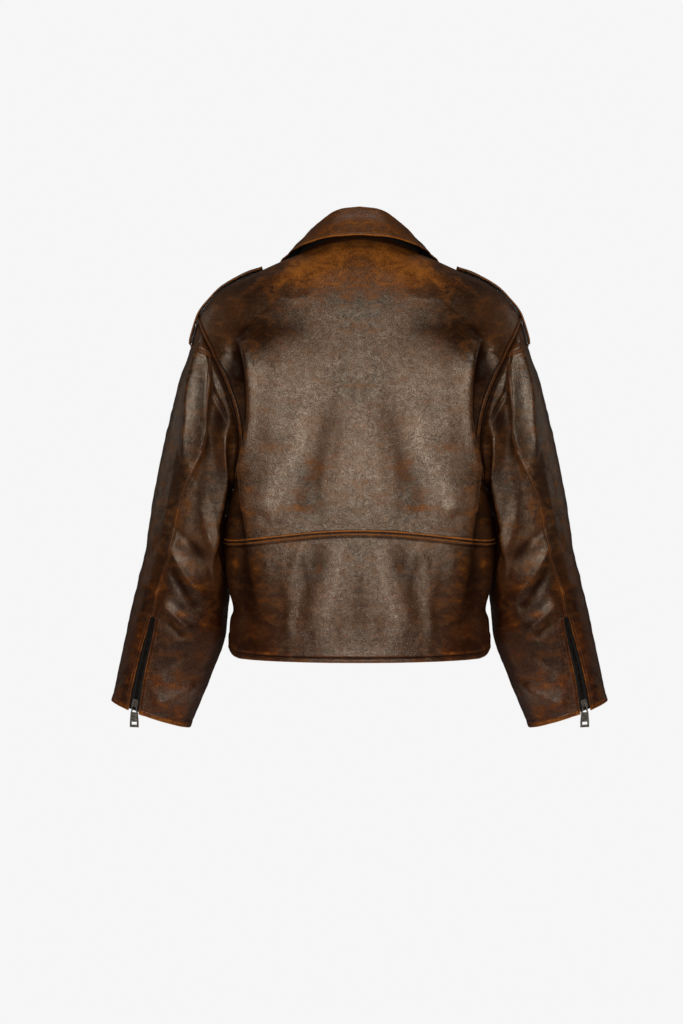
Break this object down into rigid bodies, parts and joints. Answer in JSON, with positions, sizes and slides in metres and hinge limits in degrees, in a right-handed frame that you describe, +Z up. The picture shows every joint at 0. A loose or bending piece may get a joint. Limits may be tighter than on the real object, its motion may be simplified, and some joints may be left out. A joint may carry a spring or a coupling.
{
  "type": "leather biker jacket",
  "caption": "Cropped leather biker jacket standing hollow as worn, with a folded collar, shoulder straps, a waist seam and zips at the front and cuffs.",
  "frame": {"origin": "between the shoulders on the jacket's centre plane, where the wearer's shoulders hold it up", "axes": "+Z up; the back faces +Y and the front faces -Y; the wearer's left is +X"},
  "size_m": [0.72, 0.255, 0.7377],
  "materials": {
    "leather": "worn two-tone brown, soft sheen, rubbed to orange-brown at edges and seams",
    "zip_tape": "black woven tape",
    "metal": "gunmetal"
  },
  "bodies": {
    "jacket": {"back_upper": "leather", "back_lower": "leather", "front_left": "leather", "front_right": "leather", "sleeve_cap_left": "leather", "sleeve_cap_right": "leather", "sleeve_top_left": "leather", "sleeve_top_right": "leather", "sleeve_under_left": "leather", "sleeve_under_right": "leather", "collar": "leather", "epaulette_left": "leather", "epaulette_right": "leather", "cuff_zip_tape_left": "zip_tape", "cuff_zip_tape_right": "zip_tape", "front_zip_tape": "zip_tape", "cuff_slider_left": "metal", "cuff_slider_right": "metal", "front_slider": "metal"},
    "cuff_tab_left": {"cuff_pull_left": "metal"},
    "cuff_tab_right": {"cuff_pull_right": "metal"},
    "front_tab": {"front_pull": "metal"}
  },
  "joints": [
    {"name": "cuff_tab_left_swing", "type": "hinge", "parent": "jacket", "child": "cuff_tab_left", "pos_m": [0.32236, -0.00462, -0.63122], "axis": [0.9431, -0.3325, 0], "range_deg": [0, 140]},
    {"name": "cuff_tab_right_swing", "type": "hinge", "parent": "jacket", "child": "cuff_tab_right", "pos_m": [-0.32236, -0.00462, -0.63122], "axis": [0.9431, 0.3325, 0], "range_deg": [0, 140]},
    {"name": "front_tab_swing", "type": "hinge", "parent": "jacket", "child": "front_tab", "pos_m": [0, -0.10037, -0.07481], "axis": [-1, 0, 0], "range_deg": [0, 140]}
  ]
}
